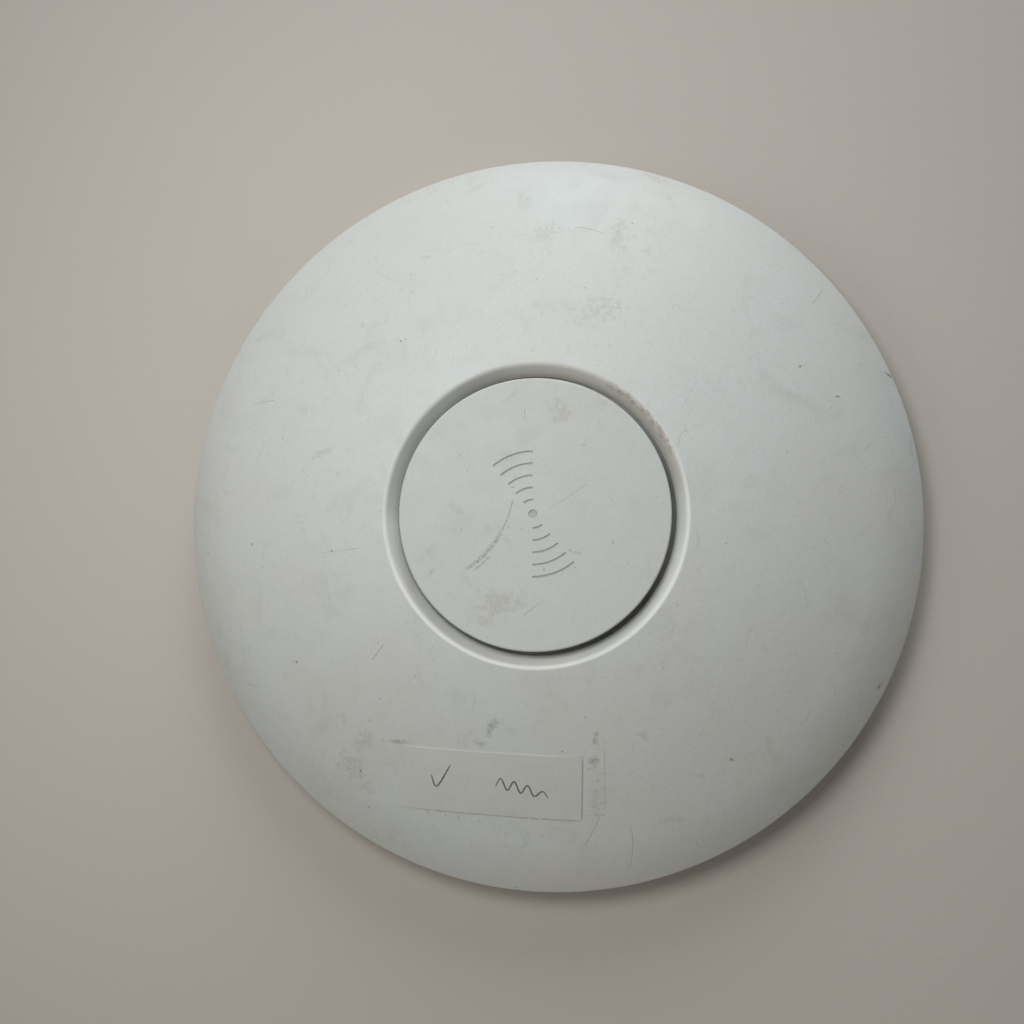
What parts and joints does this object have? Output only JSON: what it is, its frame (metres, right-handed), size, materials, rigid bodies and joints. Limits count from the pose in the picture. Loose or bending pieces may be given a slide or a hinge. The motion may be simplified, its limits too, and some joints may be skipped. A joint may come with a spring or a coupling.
{
  "type": "ceiling access point",
  "caption": "Round domed wireless access point with a ring groove and centre cap, twisting onto a ceiling bracket that its network cable passes through.",
  "frame": {"origin": "centre of the mounting bracket's back face, in the plane of the ceiling", "axes": "+Z points away from the ceiling, out of the front cover; +X and +Y lie in the ceiling, and the Ethernet socket's mouth faces -Y"},
  "size_m": [0.2, 0.2, 0.0365],
  "materials": {
    "bracket_plastic": "moulded, fine grain",
    "cover_plastic": "off-white, fine moulded grain, scuffed",
    "back_plastic": "off-white, fine moulded grain",
    "light_guide": "frosted clear acrylic",
    "board": "solder-masked laminate",
    "black_plastic": "moulded black resin",
    "tin": "tin-plated sheet",
    "gold_plate": "gold-plated wire",
    "switch_plunger": "moulded ivory resin",
    "led_resin": "moulded clear resin",
    "aluminium_sheet": "rolled sheet",
    "thermal_pad": "soft silicone",
    "ferrite": "sintered ferrite",
    "aluminium_can": "drawn can",
    "chip_ceramic": "fired ceramic with tinned ends",
    "screw_steel": "zinc-plated",
    "label_paper": "coated paper",
    "masking_tape": "creped paper tape"
  },
  "bodies": {
    "bracket": {"mounting_bracket": "bracket_plastic"},
    "unit": {"base_housing": "back_plastic", "front_cover": "cover_plastic", "centre_cap": "cover_plastic", "light_guide": "light_guide", "main_board": "board", "ethernet_jack": "black_plastic", "jack_shield": "tin", "jack_contacts": "gold_plate", "reset_switch": "black_plastic", "status_leds": "led_resin", "antenna_upper": "tin", "antenna_lower": "tin", "heat_spreader": "aluminium_sheet", "thermal_pad": "thermal_pad", "radio_shield_frame": "tin", "radio_shield_lid": "tin", "processor": "black_plastic", "memory_chip": "black_plastic", "flash_chip": "black_plastic", "ethernet_controller": "black_plastic", "radio_chip": "black_plastic", "power_amplifiers": "black_plastic", "ethernet_transformer": "black_plastic", "power_inductors": "ferrite", "electrolytic_capacitors": "aluminium_can", "crystals": "tin", "chip_components": "chip_ceramic", "board_screws": "screw_steel", "cover_screws": "screw_steel", "rating_label": "label_paper", "tape_strip": "masking_tape"},
    "lock_finger": {"locking_tab": "bracket_plastic"},
    "reset_button": {"reset_plunger": "switch_plunger"}
  },
  "joints": [
    {"name": "unit_twist", "type": "hinge", "parent": "bracket", "child": "unit", "pos_m": [0, 0, 0], "axis": [0, 0, 1], "range_deg": [0, 14]},
    {"name": "lock_flex", "type": "hinge", "parent": "bracket", "child": "lock_finger", "pos_m": [0.05157, 0.00668, 0], "axis": [0, 0, 1], "range_deg": [0, 3]},
    {"name": "reset_press", "type": "slide", "parent": "unit", "child": "reset_button", "axis": [0, 1, 0], "range_m": [0, 0.0003], "stiffness_N_per_m": 500}
  ],
  "couplings": [
    {"joint": "lock_flex", "follows": "unit_twist", "ratio": 0.2046}
  ]
}
